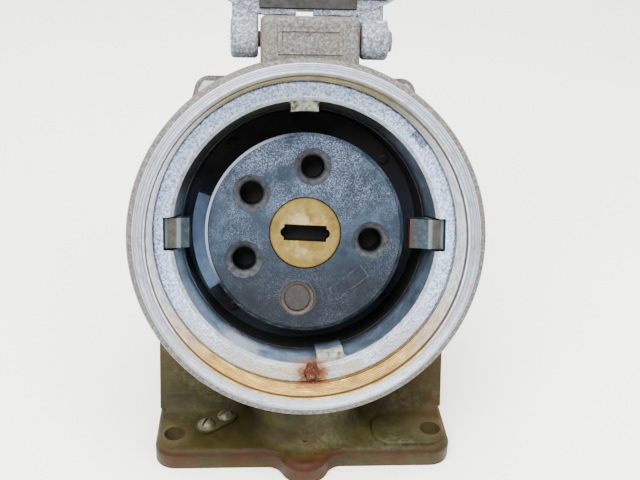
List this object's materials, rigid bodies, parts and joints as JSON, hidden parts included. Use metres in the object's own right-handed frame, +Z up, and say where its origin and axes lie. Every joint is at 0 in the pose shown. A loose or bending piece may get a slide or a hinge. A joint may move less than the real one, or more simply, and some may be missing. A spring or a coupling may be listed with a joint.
{
  "type": "generator inlet box",
  "caption": "Angled cast back box with a round dead-front power receptacle, keyed sleeve, turning pin disc and a hinged cap.",
  "frame": {"origin": "centre of the base plate's underside, which is the centre of its bolt pattern", "axes": "+Z up, away from the mounting surface; the plug mouth faces -Y and tips up 20 degrees; +X to the right seen from the mouth"},
  "size_m": [0.1448, 0.1745, 0.3085],
  "materials": {
    "olive_casting": "worn olive paint over a casting",
    "brass_screws": "dull",
    "gasket_rubber": "matte black",
    "grey_casting": "sand cast, machined face",
    "bolt_steel": "dull plated",
    "sleeve_casting": "rough cast",
    "rusty_steel": "rusted",
    "pawl_bronze": "tarnished",
    "spring_steel": "bright",
    "phenolic": "scuffed slate moulding",
    "hub_bronze": "dull ochre",
    "plunger_brown": "rust brown",
    "phenolic_block": "slate moulding",
    "contact_brass": "brass",
    "cap_casting": "sand cast"
  },
  "bodies": {
    "housing": {"angle_back_box": "olive_casting", "front_screws": "brass_screws", "housing_gasket": "gasket_rubber", "receptacle_housing": "grey_casting", "housing_bolts": "bolt_steel", "keyed_sleeve": "sleeve_casting", "sleeve_lock_screw": "rusty_steel", "pawl_spring_left": "spring_steel", "pawl_spring_right": "spring_steel", "contact_block": "phenolic_block", "rear_block": "phenolic_block", "arc_barrier": "phenolic_block", "contact_socket_1": "contact_brass", "contact_socket_2": "contact_brass", "contact_socket_3": "contact_brass", "contact_socket_4": "contact_brass", "contact_socket_5": "contact_brass", "terminal_screws": "bolt_steel", "block_screws": "bolt_steel", "hinge_pin": "rusty_steel"},
    "cap": {"cap_cover": "cap_casting", "cap_gasket": "gasket_rubber"},
    "rotor": {"front_rotor": "phenolic", "drive_hub": "hub_bronze", "rotor_shaft": "bolt_steel", "spring_washer": "spring_steel", "shaft_nut": "bolt_steel", "stop_pin": "bolt_steel", "plunger_spring": "spring_steel"},
    "plunger": {"interlock_plunger": "plunger_brown"},
    "pawl_left": {"latch_pawl_left": "pawl_bronze"},
    "pawl_right": {"latch_pawl_right": "pawl_bronze"}
  },
  "joints": [
    {"name": "cap_hinge", "type": "hinge", "parent": "housing", "child": "cap", "pos_m": [0, -0.02695, 0.17119], "axis": [1, 0, 0], "range_deg": [0, 180]},
    {"name": "rotor_turn", "type": "hinge", "parent": "housing", "child": "rotor", "pos_m": [0, -0.03061, 0.08803], "axis": [0, -0.9397, 0.342], "range_deg": [0, 28]},
    {"name": "plunger_slide", "type": "slide", "parent": "rotor", "child": "plunger", "axis": [0, 0.9397, -0.342], "range_m": [0, 0.004], "stiffness_N_per_m": 400, "springref_m": -0.004, "deforming": ["plunger_spring"]},
    {"name": "pawl_left_slide", "type": "slide", "parent": "housing", "child": "pawl_left", "axis": [-1, 0, 0], "range_m": [0, 0.003], "stiffness_N_per_m": 500, "springref_m": -0.003, "deforming": ["pawl_spring_left"]},
    {"name": "pawl_right_slide", "type": "slide", "parent": "housing", "child": "pawl_right", "axis": [1, 0, 0], "range_m": [0, 0.003], "stiffness_N_per_m": 500, "springref_m": -0.003, "deforming": ["pawl_spring_right"]}
  ]
}
